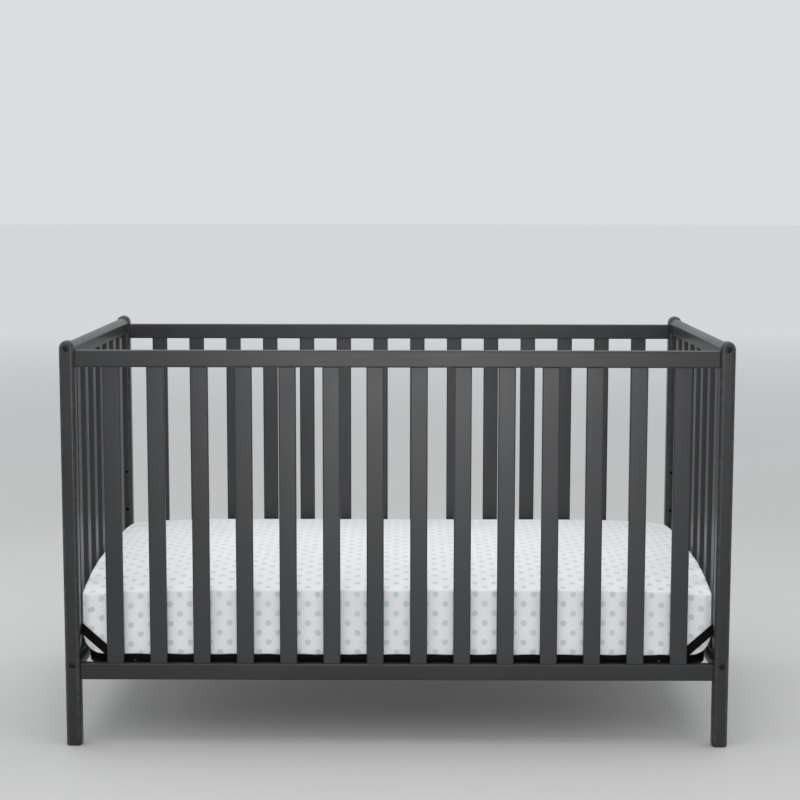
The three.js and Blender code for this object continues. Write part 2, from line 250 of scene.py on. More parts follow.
def ticking():
    """Off-white mattress ticking with thin grey stripes."""
    g = Graph("mattress_ticking")
    spot = g.spot()
    stripes = g.bands("Y", Vector=spot, Scale=12.0)
    cloud = g.noise(spot, 14.0, 4.0)
    base = g.mix(g.ramp(cloud, 0.3, 0.7), (0.74, 0.72, 0.68, 1), (0.82, 0.80, 0.76, 1))
    tone = g.mix(g.ramp(stripes, 0.93, 0.97, 0.0, 0.55), base, (0.42, 0.44, 0.47, 1))
    weave = thread_lines(g, spot, 0.0011)
    return g.surface(Base_Color=tone, Roughness=g.ramp(cloud, 0.3, 0.7, 0.86, 0.95),
                     Normal=g.bump(weave, 0.00025, 0.5), Sheen_Weight=0.15, Sheen_Roughness=0.5)


def dotted_cotton():
    """White cotton printed with a diagonal lattice of small pale dots, each in one of four inks."""
    g = Graph("dotted_cotton")
    cloth = g.add("UVMap", {"uv_map": "cloth"})[0]
    drift = g.add("TexNoise", Vector=cloth, Scale=5.0, Detail=1.0)[1]
    wander = g.vector("MULTIPLY_ADD", i0=drift, i1=(0.006, 0.006, 0), i2=cloth)[0]
    step = DOT_PITCH / math.sqrt(2)
    lattice = g.place(wander, (1 / step, 1 / step, 1), math.radians(44.8))
    cell = g.vector("FLOOR", i0=lattice)[0]
    within = g.vector("SUBTRACT", i0=lattice, i1=cell)[0]
    offset = g.vector("SUBTRACT", i0=within, i1=(0.5, 0.5, 0))[0]
    flat = g.vector("MULTIPLY", i0=offset, i1=(1, 1, 0))[0]
    reach = g.vector("LENGTH", i0=flat)[1]
    ragged = g.math("ADD", reach, g.math("MULTIPLY", g.noise(cloth, 900.0, 2.0), 0.03))
    radius = DOT_RADIUS / step
    dot = g.ramp(ragged, radius + 0.035, radius - 0.005)
    pick = g.add("TexWhiteNoise", {"noise_dimensions": "2D"}, Vector=cell)[0]
    ink = g.mix(g.math("GREATER_THAN", pick, 0.42), (0.61, 0.62, 0.65, 1), (0.60, 0.66, 0.67, 1))
    ink = g.mix(g.math("GREATER_THAN", pick, 0.68), ink, (0.54, 0.63, 0.64, 1))
    ink = g.mix(g.math("GREATER_THAN", pick, 0.86), ink, (0.65, 0.64, 0.67, 1))
    cloud = g.noise(cloth, 6.0, 4.0)
    base = g.mix(g.ramp(cloud, 0.3, 0.7), (0.80, 0.81, 0.83, 1), (0.86, 0.865, 0.88, 1))
    threads = thread_lines(g, cloth, 0.0007)
    tone = g.mix(g.math("MULTIPLY", dot, g.ramp(threads, 0.2, 0.9, 0.78, 0.95)), base, ink)
    slub = g.noise(g.place(cloth, (160, 900, 1)), 1.0, 2.0)
    height = g.math("ADD", threads, g.math("MULTIPLY", slub, 0.6))
    return g.surface(Base_Color=tone, Roughness=g.ramp(threads, 0.2, 0.9, 0.90, 0.80),
                     Normal=g.bump(height, 0.00018, 0.5), Sheen_Weight=0.45, Sheen_Roughness=0.5,
                     Sheen_Tint=(0.95, 0.97, 1.0, 1))


def elastic_tape():
    """White gathered tape round the sheet's mouth, ribbed across."""
    g = Graph("elastic_tape")
    spot = g.spot()
    ribs = g.noise(g.place(spot, (700, 700, 200)), 1.0, 2.0)
    # Darker in the grooves between the ribs: painted shade.
    tone = g.mix(g.ramp(ribs, 0.3, 0.7), (0.70, 0.71, 0.73, 1), (0.84, 0.85, 0.87, 1))
    return g.surface(Base_Color=tone, Roughness=g.ramp(ribs, 0.3, 0.7, 0.92, 0.82),
                     Normal=g.bump(ribs, 0.0004, 0.6), Sheen_Weight=0.2)


def pale_floor():
    """Pale near the crib, and paler still far off, where it meets the background."""
    g = Graph("studio_floor")
    spot = g.spot()
    reach = g.vector("LENGTH", i0=spot)[1]
    near = g.mix(g.ramp(g.noise(spot, 0.6, 2.0), 0.3, 0.7), (0.50, 0.50, 0.495, 1), (0.525, 0.525, 0.52, 1))
    tone = g.mix(g.ramp(reach, 2.5, 11.0), near, (0.93, 0.935, 0.94, 1))
    return g.surface(Base_Color=tone, Roughness=0.85, Specular_IOR_Level=0.2)


# ---- Pieces ----
def settle(mesh, material, body, sharp=40.0, stands_for=None):
    """Makes a mesh a piece of the object: shading, material, the body that carries it, and its CAD node."""
    mesh.materials.clear()
    mesh.materials.append(material)
    mesh.polygons.foreach_set("use_smooth", [True] * len(mesh.polygons))
    mesh.set_sharp_from_angle(angle=math.radians(sharp))
    piece = bpy.data.objects.new(mesh.name, mesh)
    bpy.context.scene.collection.objects.link(piece)
    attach(piece, body)
    if stands_for:
        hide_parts(stands_for)
    return piece


def even_normals(piece):
    """Keeps large flats flat beside their rounded edges."""
    piece.modifiers.new("even_normals", "WEIGHTED_NORMAL").keep_sharp = True


def painted(mesh, along, tone, node):
    """A wooden piece with its grain along one axis, which stands for a CAD node. Its tone lightens the paint:
    a little at random on posts and rails, and much more on the slats, as a painted highlight.
    """
    mesh.attributes.new("tone", "FLOAT", "POINT").data.foreach_set("value", [tone] * len(mesh.vertices))
    even_normals(settle(mesh, paint[along], "frame", stands_for=node))


def mesh_of(bm, name):
    bmesh.ops.recalc_face_normals(bm, faces=bm.faces)
    mesh = bpy.data.meshes.new(name)
    bm.to_mesh(mesh)
    bm.free()
    return mesh


def mesh_from(name, verts, faces):
    mesh = bpy.data.meshes.new(name)
    mesh.from_pydata([tuple(map(float, v)) for v in verts], [], [tuple(map(int, f)) for f in faces])
    mesh.validate()
    return mesh


def face_outwards(mesh):
    """Turns the faces of a closed mesh outwards."""
    bm = bmesh.new()
    bm.from_mesh(mesh)
    bmesh.ops.recalc_face_normals(bm, faces=bm.faces)
    bm.to_mesh(mesh)
    bm.free()
    return mesh


def round_edges(bm, edges, radius, segments):
    """Rounds edges, and marks what is on the rounding, for edge abrasion and a painted edge highlight."""
    layer = bm.verts.layers.float.get("wear_and_highlight") or bm.verts.layers.float.new("wear_and_highlight")
    made = bmesh.ops.bevel(bm, geom=edges, offset=radius, offset_type="OFFSET", segments=segments,
                           profile=0.5, affect="EDGES")
    rounded = set(made["faces"])
    for vert in bm.verts:
        if vert.link_faces and all(face in rounded for face in vert.link_faces):
            vert[layer] = 1.0


def bar(name, low, high, radius, segments=4):
    """A box with its long edges rounded, between two corners."""
    low, high = Vector(low), Vector(high)
    size = high - low
    bm = bmesh.new()
    bmesh.ops.create_cube(bm, size=1, matrix=Matrix.LocRotScale((low + high) / 2, None, size))
    longest = max(size)
    round_edges(bm, [e for e in bm.edges if abs(e.calc_length() - longest) < 1e-6], radius, segments)
    return mesh_of(bm, name)


def slab(name, outline, centre, depth, axis, radius, segments):
    """A plan outline given a depth along an axis, with the edges of both faces rounded."""
    bm = bmesh.new()
    place = {0: lambda a, b, d: (d, a, b), 1: lambda a, b, d: (a, d, b), 2: lambda a, b, d: (a, b, d)}[axis]
    rows = []
    for d in (centre - depth / 2, centre + depth / 2):
        rows.append([bm.verts.new(place(a, b, d)) for a, b in outline])
    caps = [bm.faces.new(row) for row in rows]
    for i in range(len(outline)):
        bm.faces.new((rows[0][i - 1], rows[0][i], rows[1][i], rows[1][i - 1]))
    bmesh.ops.recalc_face_normals(bm, faces=bm.faces)
    round_edges(bm, [edge for cap in caps for edge in cap.edges], radius, segments)
    return mesh_of(bm, name)


def skin(rings, loop=False, caps=(True, True)):
    """Vertices and faces through closed rings of points, each anticlockwise as seen from the next."""
    count = len(rings[0])
    faces = []
    for i in range(len(rings) - (0 if loop else 1)):
        a, b = i * count, (i + 1) % len(rings) * count
        faces += [(a + j, a + (j + 1) % count, b + (j + 1) % count, b + j) for j in range(count)]
    if not loop and caps[0]:
        faces.append(tuple(range(count - 1, -1, -1)))
    if not loop and caps[1]:
        faces.append(tuple((len(rings) - 1) * count + j for j in range(count)))
    return np.concatenate(rings), faces


def joined(parts):
    """One list of vertices and faces from several."""
    verts, faces, base = [], [], 0
    for part_verts, part_faces in parts:
        verts.append(np.asarray(part_verts, float))
        faces += [tuple(base + i for i in face) for face in part_faces]
        base += len(part_verts)
    return np.concatenate(verts), faces


def across(direction):
    """Two unit vectors that make a right-handed frame with a direction."""
    d = np.asarray(direction, float)
    d = d / np.linalg.norm(d)
    helper = np.array((0, 0, 1.0)) if abs(d[2]) < 0.9 else np.array((1.0, 0, 0))
    u = np.cross(helper, d)
    u /= np.linalg.norm(u)
    return u, np.cross(d, u)


def turned(start, direction, profile, sides=32, flats=(), loop=False):
    """A turned part: profile holds (distance, radius) from start, and flats the rows that are hexagons.

    A loop's last row joins its first, so the part is a sleeve.
    """
    d = np.asarray(direction, float)
    d = d / np.linalg.norm(d)
    u, w = across(d)
    angle = np.arange(sides) * 2 * math.pi / sides
    rings = []
    for row, (reach, radius) in enumerate(profile):
        size = np.full(sides, radius)
        if row in flats:
            size = radius / np.cos((angle % (math.pi / 3)) - math.pi / 6)
        ring = np.outer(np.cos(angle) * size, u) + np.outer(np.sin(angle) * size, w)
        rings.append(np.asarray(start, float) + d * reach + ring)
    return skin(rings, loop)


def tube(points, radius, sides=8, loop=False):
    """A round wire along points."""
    points = np.asarray(points, float)
    if loop:
        run = np.roll(points, -1, 0) - np.roll(points, 1, 0)
    else:
        run = np.gradient(points, axis=0)
    run /= np.linalg.norm(run, axis=1)[:, None]
    side = across(run[0])[0]
    angle = np.arange(sides) * 2 * math.pi / sides
    rings = []
    for point, d in zip(points, run):
        side = side - side.dot(d) * d
        side /= np.linalg.norm(side)
        other = np.cross(d, side)
        rings.append(point + radius * (np.outer(np.cos(angle), side) + np.outer(np.sin(angle), other)))
    return skin(rings, loop)


def cut(mesh, tools):
    """Cuts closed meshes, given as vertices and faces, out of a mesh."""
    tool_mesh = mesh_from("cutter", *joined(tools))
    body = bpy.data.objects.new("uncut", mesh)
    tool = bpy.data.objects.new("cutter", tool_mesh)
    for obj in (body, tool):
        bpy.context.scene.collection.objects.link(obj)
    modifier = body.modifiers.new("cut", "BOOLEAN")
    modifier.operation = "DIFFERENCE"
    modifier.solver = "EXACT"
    modifier.object = tool
    bpy.context.view_layer.update()
    result = bpy.data.meshes.new_from_object(body.evaluated_get(bpy.context.evaluated_depsgraph_get()))
    for obj in (body, tool):
        bpy.data.objects.remove(obj)
    name = mesh.name
    for spent in (mesh, tool_mesh):
        bpy.data.meshes.remove(spent)
    result.name = name
    return result


def drill(axis, at, start, end, diameter):
    """A round cutter along an axis, from start to end, where the other two coordinates are those of at."""
    base, way = np.array(at, float), np.zeros(3)
    base[axis] = start
    way[axis] = end - start
    return turned(base, way, [(0, diameter / 2), (abs(end - start), diameter / 2)])


def block(low, high):
    """A box-shaped cutter between two corners."""
    (ax, ay, az), (bx, by, bz) = low, high
    ring = [(ax, ay), (bx, ay), (bx, by), (ax, by)]
    return skin([np.array([(x, y, z) for x, y in ring]) for z in (az, bz)])


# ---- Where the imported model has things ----
def span(node):
    low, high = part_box(node)
    return low, high, (low + high) / 2


post_low, post_high, _ = span("post_rear_right")
inner_x, outer_x = post_low.x, post_high.x
inner_y, outer_y = post_low.y, post_high.y
post_x, post_y = (inner_x + outer_x) / 2, (inner_y + outer_y) / 2
side_rail_y = span("rear_top_rail")[2].y
side_bolt_heights = [span(f"rear_{level}_rail")[2].z for level in ("top", "bottom")]
end_bolt_heights = [span(f"{level}_bolt_rear_right")[2].z for level in ("top", "bottom")]
hanger_high = span("hanger_rear_right")[1]
height_hole_x = hanger_high.x - STRAP_WIDTH / 2
height_hole_z = hanger_high.z - STRAP_WIDTH / 2
height_step = frame["joints"][0]["range_m"][1] / (HEIGHT_HOLES - 1)
counterbore = BOLT_RECESS + BOLT_HEAD_HEIGHT + SEAT
bolt_bore = BOLT_SHANK + 2 * BORE_FIT


# ---- Wooden frame ----
def arched(half, base, top, foot, steps=40):
    """An upright outline with a half-round top and rounded foot corners."""
    points = []
    for i in range(steps + 1):
        turn = math.pi * i / steps
        points.append((half * math.cos(turn), top - half + half * math.sin(turn)))
    quarter = 5
    for side, start in ((-1, math.pi), (1, 1.5 * math.pi)):
        for i in range(quarter + 1):
            turn = start + math.pi / 2 * i / quarter
            points.append((side * (half - foot) + foot * math.cos(turn), base + foot + foot * math.sin(turn)))
    return points


def post_blank(name, sx, sy, steps=7):
    """A post before it is drilled: its outline at each depth, drawn in towards both faces."""
    half, deep = outer_x - post_x, (outer_y - inner_y) / 2
    rows = []
    for i in range(steps + 1):
        turn = math.pi / 2 * i / steps
        rows.append((-deep + POST_ROUND * (1 - math.cos(turn)), POST_ROUND * (1 - math.sin(turn))))
    rows += [(-y, inset) for y, inset in reversed(rows)]
    rings, worn_and_highlit = [], []
    for y, inset in rows:
        short = max(0.0, FOOT_ROUND - (deep - abs(y)))
        lift = FOOT_ROUND - math.sqrt(FOOT_ROUND ** 2 - short ** 2)
        outline = arched(half - inset, lift, post_high.z - inset, FOOT_ROUND)
        rings.append([(sx * post_x + a, sy * post_y + y, b) for a, b in outline])
        # Marks the roundings, for edge abrasion and a painted edge highlight.
        worn_and_highlit += [float(0.0005 < inset < POST_ROUND - 0.0005)] * len(outline)
    mesh = mesh_from(name, *skin([np.array(ring) for ring in rings]))
    mesh.attributes.new("wear_and_highlight", "FLOAT", "POINT").data.foreach_set("value", worn_and_highlit)
    return face_outwards(mesh)


def bolt_holes(axis, at, sign, inner, outer):
    """Cutters through a post: a bolt's shank, and its head from the outer face."""
    mouth = sign * (outer + CUT_PAST)
    return [drill(axis, at, sign * (inner - CUT_PAST), mouth, bolt_bore),
            drill(axis, at, sign * (outer - counterbore), mouth, BOLT_HEAD + 2 * BORE_FIT)]


def make_post(corner, sx, sy):
    mesh = post_blank(f"corner_post_{corner}", sx, sy)
    tools = []
    for z in end_bolt_heights:
        tools += bolt_holes(1, (sx * post_x, 0, z), sy, inner_y, outer_y)
    for z in side_bolt_heights:
        tools += bolt_holes(0, (0, sy * side_rail_y, z), sx, inner_x, outer_x)
    for i in range(HEIGHT_HOLES):
        at = (sx * height_hole_x, 0, height_hole_z + i * height_step)
        tools.append(drill(1, at, sy * (inner_y - CUT_PAST), sy * (inner_y + HEIGHT_HOLE_DEPTH), HEIGHT_HOLE))
    for tool in tools:
        mesh = cut(mesh, [tool])
    painted(mesh, 2, dice.uniform(0, 0.1), f"post_{corner}")


def bore_rail(mesh, axis, at, low, end, post_face):
    """Cuts the bolt bores into both ends of a rail, and the barrel nuts' holes up from its underside."""
    for sign in (-1, 1):
        deep = end - BOLT_REACH - BORE_FIT
        mesh = cut(mesh, [drill(axis, at, sign * deep, sign * (end + CUT_PAST / 2), bolt_bore)])
        nut = list(at)
        nut[axis] = sign * (post_face - BARREL_NUT_INSET)
        mesh = cut(mesh, [drill(2, nut, low - CUT_PAST / 2, at[2] + BARREL_NUT / 2 + CUT_PAST, BARREL_NUT)])
    return mesh


def make_side_rails():
    slat_low, slat_high, _ = span("rear_slat_01")
    half_width = (slat_high.x - slat_low.x) / 2 + SEAT
    half_depth = (slat_high.y - slat_low.y) / 2 + SEAT
    middles = [span(f"rear_slat_{i + 1:02d}")[2].x for i in range(SLATS_PER_SIDE)]
    for side in ("front", "rear"):
        for level, opens in (("top", -1), ("bottom", 1)):
            low, high, middle = span(f"{side}_{level}_rail")
            mesh = bar(f"{side}_{level}_crossbar", low, high, WOOD_ROUND)
            face = high.z if opens > 0 else low.z
            floor, mouth = sorted((face - opens * MORTISE, face + opens * CUT_PAST))
            mesh = cut(mesh, [block((x - half_width, middle.y - half_depth, floor),
                                    (x + half_width, middle.y + half_depth, mouth)) for x in middles])
            mesh = bore_rail(mesh, 0, middle, low.z, high.x, inner_x)
            painted(mesh, 0, dice.uniform(0, 0.1), f"{side}_{level}_rail")


def make_side_slats():
    for side in ("front", "rear"):
        for i in range(SLATS_PER_SIDE):
            node = f"{side}_slat_{i + 1:02d}"
            low, high, _ = span(node)
            mesh = bar(f"{side}_spindle_{i + 1:02d}", low, high, SLAT_ROUND, 3)
            # The slats' large tone is a painted highlight.
            painted(mesh, 2, dice.uniform(0.4, 0.9), node)


def make_end(end):
    """An end panel: two rails, seven slats, and the tenon strips between the slats' ends."""
    low_end, high_end, _ = span(f"{end}_end_slats")
    slat_width = span("rear_slat_01")[1].x - span("rear_slat_01")[0].x
    gap = (2 * inner_y - SLATS_PER_END * slat_width) / (SLATS_PER_END + 1)
    reach = inner_y - gap
    thick = (high_end.x - low_end.x) / 2
    tongue = MORTISE - SEAT
    for level, opens, bolt_z in (("top", -1, end_bolt_heights[0]), ("bottom", 1, end_bolt_heights[1])):
        low, high, middle = span(f"{end}_{level}_rail")
        name = f"{end}_end_{level}_bar"
        if level == "top":
            outline = [(middle.x + a, b) for a, b in arched(high.x - middle.x, low.z, high.z, WOOD_ROUND)]
            mesh = slab(name, outline, 0.0, high.y - low.y, 1, TIP_ROUND, 2)
        else:
            mesh = bar(name, low, high, WOOD_ROUND)
        face = high.z if opens > 0 else low.z
        floor, mouth = sorted((face - opens * MORTISE, face + opens * CUT_PAST))
        mesh = cut(mesh, [block((middle.x - thick - SEAT, -reach - SEAT, floor),
                                (middle.x + thick + SEAT, reach + SEAT, mouth))])
        mesh = bore_rail(mesh, 1, (middle.x, 0, bolt_z), low.z, high.y, inner_y)
        painted(mesh, 1, dice.uniform(0, 0.1), f"{end}_{level}_rail")
        lower, upper = sorted((face - opens * tongue, face + opens * 0.0002))
        for i in range(SLATS_PER_END - 1):
            start = -reach + slat_width + i * (slat_width + gap)
            mesh = bar(f"{end}_{level}_fillet_{i + 1}", (middle.x - thick, start + SEAT, lower),
                       (middle.x + thick, start + gap - SEAT, upper), TIP_ROUND, 2)
            painted(mesh, 1, 0.1, f"{end}_end_slats")
    for i in range(SLATS_PER_END):
        start = -reach + i * (slat_width + gap)
        mesh = bar(f"{end}_spindle_{i + 1}", (low_end.x, start, low_end.z),
                   (high_end.x, start + slat_width, high_end.z), SLAT_ROUND, 3)
        # The slats' large tone is a painted highlight.
        painted(mesh, 2, dice.uniform(0.4, 0.9), f"{end}_end_slats")


# ---- Fasteners ----
def threads(start, end, radius, pitch=0.001):
    """Rows of a screw thread's profile between two distances."""
    rows = []
    for i in range(int((end - start) / pitch)):
        rows += [(start + i * pitch, radius), (start + (i + 0.5) * pitch, radius * 0.88)]
    return rows


def bolt(name, face, direction, length, body, stands_for=None):
    """A socket-head bolt. face is the centre of its head's face, and it points along direction."""
    head, shank = BOLT_HEAD / 2, BOLT_SHANK / 2
    bevel = 0.0007
    socket = BOLT_SOCKET / 2
    profile = [(0.0026, 0.0002), (0.0030, socket), (0.0004, socket), (0, socket * 1.13), (0, head - bevel),
               (0.0002, head - 0.4 * bevel), (bevel, head), (BOLT_HEAD_HEIGHT - 0.0004, head),
               (BOLT_HEAD_HEIGHT, head - 0.0004), (BOLT_HEAD_HEIGHT, shank), (length - 0.0220, shank)]
    profile += threads(length - 0.0215, length - 0.0012, shank)
    profile += [(length - 0.0008, shank * 0.9), (length, shank * 0.6)]
    mesh = mesh_from(name, *turned(face, direction, profile, 36, (1, 2)))
    settle(mesh, oxide, body, 30, stands_for)


def barrel_nut(name, face, direction):
    """A cross-dowel nut; face is the centre of its slotted end."""
    r, slope = BARREL_NUT / 2 - 0.0002, 0.0005
    long = BARREL_NUT_LENGTH
    profile = [(0, r - slope), (slope, r), (long - slope, r), (long, r - slope)]
    mesh = mesh_from(name, *turned(face, direction, profile, 36))
    u, w = across(direction)
    d = np.asarray(direction, float)
    corners = [(-r - 0.001, -0.0007), (r + 0.001, -0.0007), (r + 0.001, 0.0007), (-r - 0.001, 0.0007)]
    slot_rings = [np.array([np.asarray(face) + d * depth + u * a + w * b for a, b in corners])
                  for depth in (-0.001, 0.0016)]
    settle(cut(mesh, [skin(slot_rings)]), oxide, "frame", 30)


def insert(name, mouth, direction):
    """A threaded sleeve in a height hole."""
    outer, inner = HEIGHT_HOLE / 2 - 0.00005, BOLT_SHANK / 2 + 0.0001
    profile = [(INSERT_LENGTH, inner), (INSERT_LENGTH, outer), (0.0004, outer), (0, outer - 0.0002),
               (0, inner + 0.0002)]
    profile += [(reach, radius + 0.0003) for reach, radius in threads(0.0005, INSERT_LENGTH, inner)]
    mesh = mesh_from(name, *turned(mouth, direction, profile, 24, loop=True))
    settle(mesh, oxide, "frame", 30)


def fasten(kind, level, corner, axis, at, sign, inner, outer, rail, stands_for=None):
    """A bolt through a post into a rail's end, and its barrel nut in the rail."""
    way, face, nut = [0, 0, 0], list(at), list(at)
    way[axis] = -sign
    face[axis] = sign * (outer - BOLT_RECESS)
    bolt(f"{kind}_rail_bolt_{level}_{corner}", face, way, outer - BOLT_RECESS - inner + BOLT_REACH, "frame",
         stands_for)
    low = span(rail)[0].z
    nut[axis] = sign * (inner - BARREL_NUT_INSET)
    nut[2] = low + max(BARREL_NUT_RECESS, at[2] - low - BARREL_NUT_LENGTH + BARREL_NUT / 2)
    barrel_nut(f"{kind}_rail_nut_{level}_{corner}", nut, (0, 0, 1))


def make_fasteners():
    for corner, sx, sy in CORNERS:
        side, end = corner.split("_")
        for level, z in zip(("top", "bottom"), end_bolt_heights):
            fasten("end", level, corner, 1, (sx * post_x, 0, z), sy, inner_y, outer_y, f"{end}_{level}_rail",
                   f"{level}_bolt_{corner}")
        for level, z in zip(("top", "bottom"), side_bolt_heights):
            fasten("side", level, corner, 0, (0, sy * side_rail_y, z), sx, inner_x, outer_x,
                   f"{side}_{level}_rail")
        for i in range(HEIGHT_HOLES):
            mouth = (sx * height_hole_x, sy * (inner_y + 0.001), height_hole_z + i * height_step)
            insert(f"height_insert_{i + 1}_{corner}", mouth, (0, sy, 0))


# ---- Mattress support ----
def plan_ring(half_x, half_y, radius, steps):
    """Points round a rounded rectangle, anticlockwise; each corner has steps + 1 points."""
    points = []
    for quarter in range(4):
        sx, sy = ((1, 1), (-1, 1), (-1, -1), (1, -1))[quarter]
        for i in range(steps + 1):
            turn = math.pi / 2 * (quarter + i / steps)
            points.append((sx * (half_x - radius) + radius * math.cos(turn),
                           sy * (half_y - radius) + radius * math.sin(turn)))
    return np.array(points)


def arc_points(cx, cy, radius, start, end, steps):
    """Section points on an arc, in degrees."""
    turns = [math.radians(start + (end - start) * i / steps) for i in range(steps + 1)]
    return [(cx + radius * math.cos(t), cy + radius * math.sin(t)) for t in turns]


def make_support_frame():
    """Angle iron bent round a rounded rectangle: (inset, height) section points, swept in plan."""
    low, high, _ = span("support_frame")
    leg, shelf, wall, tip = high.z - low.z, SUPPORT_SHELF, SUPPORT_WALL, 0.0008
    section = arc_points(wall, high.z - wall, wall, 180, 90, 5)
    section += arc_points(shelf - tip, high.z - tip, tip, 90, 0, 2)
    section += arc_points(shelf - tip, high.z - wall + tip, tip, 0, -90, 2)
    section += arc_points(2 * wall, high.z - 2 * wall, wall, 90, 180, 4)
    section += arc_points(wall - tip, high.z - leg + tip, tip, 0, -90, 2)
    section += arc_points(tip, high.z - leg + tip, tip, -90, -180, 2)
    rings = []
    for inset, height in section:
        plan = plan_ring(high.x - inset, high.y - inset, SUPPORT_CORNER - inset, 14)
        rings.append(np.column_stack((plan, np.full(len(plan), height))))
    mesh = face_outwards(mesh_from("support_angle_frame", *skin(rings, loop=True)))
    settle(mesh, coat, "mattress_support", 50, "support_frame")


def make_deck():
    """A welded wire grid: long wires on cross wires, with a rim wire, hung on coil springs."""
    low, high, _ = span("spring_deck")
    r = DECK_WIRE / 2
    top = high.z - 0.001
    long_z, cross_z = top - r, top - 3 * r + 0.0002
    half_x, half_y = high.x - r, high.y - r
    parts = []
    rim = plan_ring(half_x, half_y, 0.03, 8)
    parts.append(tube(np.column_stack((rim, np.full(len(rim), cross_z))), r, 10, loop=True))
    curl = 0.004
    for i in range(DECK_LONG_WIRES):
        y = half_y * (2 * (i + 0.5) / DECK_LONG_WIRES - 1)
        xs = np.linspace(-half_x - curl, half_x + curl, 12)
        parts.append(tube([(x, y, long_z) for x in xs], r, 10))
    for i in range(DECK_CROSS_WIRES):
        x = half_x * (2 * (i + 0.5) / DECK_CROSS_WIRES - 1)
        parts.append(tube([(x, y, cross_z) for y in np.linspace(-half_y, half_y, 8)], r, 10))
    mesh = mesh_from("wire_deck", *joined(parts))
    settle(mesh, coat, "mattress_support", 50, "spring_deck")
    support_high = span("support_frame")[1]
    hole_x, hole_y = support_high.x - SUPPORT_SHELF + 0.005, support_high.y - SUPPORT_SHELF + 0.005
    runs = []
    for side, sy in (("front", -1), ("rear", 1)):
        xs = [half_x * 0.94 * (2 * i / (SPRINGS_LONG - 1) - 1) for i in range(SPRINGS_LONG)]
        runs.append((side, [((x, sy * half_y), (x, sy * hole_y)) for x in xs]))
    for end, sx in (("left", -1), ("right", 1)):
        ys = [half_y * 0.82 * (2 * i / (SPRINGS_END - 1) - 1) for i in range(SPRINGS_END)]
        runs.append((end, [((sx * half_x, y), (sx * hole_x, y)) for y in ys]))
    for name, places in runs:
        coils = [coil_spring(a, b, cross_z, support_high.z) for a, b in places]
        mesh = mesh_from(f"deck_springs_{name}", *joined(coils))
        settle(mesh, coat, "mattress_support", 60)


def coil_spring(rim, hole, rim_z, shelf_z):
    """An extension spring from the deck's rim wire to a hole in the shelf, hooked at both ends."""
    rim, hole = np.array(rim), np.array(hole)
    out = (hole - rim) / np.linalg.norm(hole - rim)
    side = np.array((-out[1], out[0]))
    r = SPRING_COIL / 2 - SPRING_WIRE / 2
    z = rim_z - 0.0006
    hook = DECK_WIRE / 2 + SPRING_WIRE / 2
    points = []
    for i in range(7):
        turn = math.radians(100 + 200 * i / 6)
        spot = rim + out * hook * math.cos(turn)
        points.append((*spot, rim_z + hook * math.sin(turn)))
    start, end = 0.0065, float(np.linalg.norm(hole - rim)) - 0.0065
    turns = 9
    steps = turns * 10
    for i in range(steps + 1):
        angle = 2 * math.pi * i / 10 - math.pi / 2
        reach = start + (end - start) * i / steps
        spot = rim + out * reach + side * r * math.cos(angle)
        points.append((*spot, z + r * math.sin(angle)))
    under = shelf_z - SUPPORT_WALL - SPRING_WIRE / 2 - 0.0001
    points.append((*(hole - out * 0.003), under - 0.0004))
    points.append((*(hole - out * 0.0008), under))
    points.append((*hole, under + 0.0012))
    points.append((*hole, shelf_z - 0.0006))
    return tube(points, SPRING_WIRE / 2, 6)


def strap_outline(path, half, steps=8):
    """Outline of a band of constant width along a bent path, with round ends."""
    path = [np.asarray(p, float) for p in path]
    runs = [(b - a) / np.linalg.norm(b - a) for a, b in zip(path, path[1:])]
    normals = [np.array((-d[1], d[0])) for d in runs]

    def round_end(point, n, d):
        return [point + half * (n * math.cos(t) + d * math.sin(t)) for t in np.linspace(0, math.pi, 15)[1:-1]]

    left, right = [path[0] + half * normals[0]], [path[0] - half * normals[0]]
    for point, a, b in zip(path[1:], normals, normals[1:]):
        bend = math.atan2(a[0] * b[1] - a[1] * b[0], float(a.dot(b)))
        mitre = (a + b) / (1 + float(a.dot(b)))
        fan = []
        for k in range(steps + 1):
            c, s = math.cos(bend * k / steps), math.sin(bend * k / steps)
            fan.append(np.array((a[0] * c - a[1] * s, a[0] * s + a[1] * c)))
        left += [point + half * mitre] if bend > 0 else [point + half * n for n in fan]
        right += [point - half * n for n in fan] if bend > 0 else [point - half * mitre]
    left.append(path[-1] + half * normals[-1])
    right.append(path[-1] - half * normals[-1])
    points = left + round_end(path[-1], normals[-1], runs[-1])
    points += right[::-1] + round_end(path[0], -normals[0], -runs[0])
    return [tuple(point) for point in points]


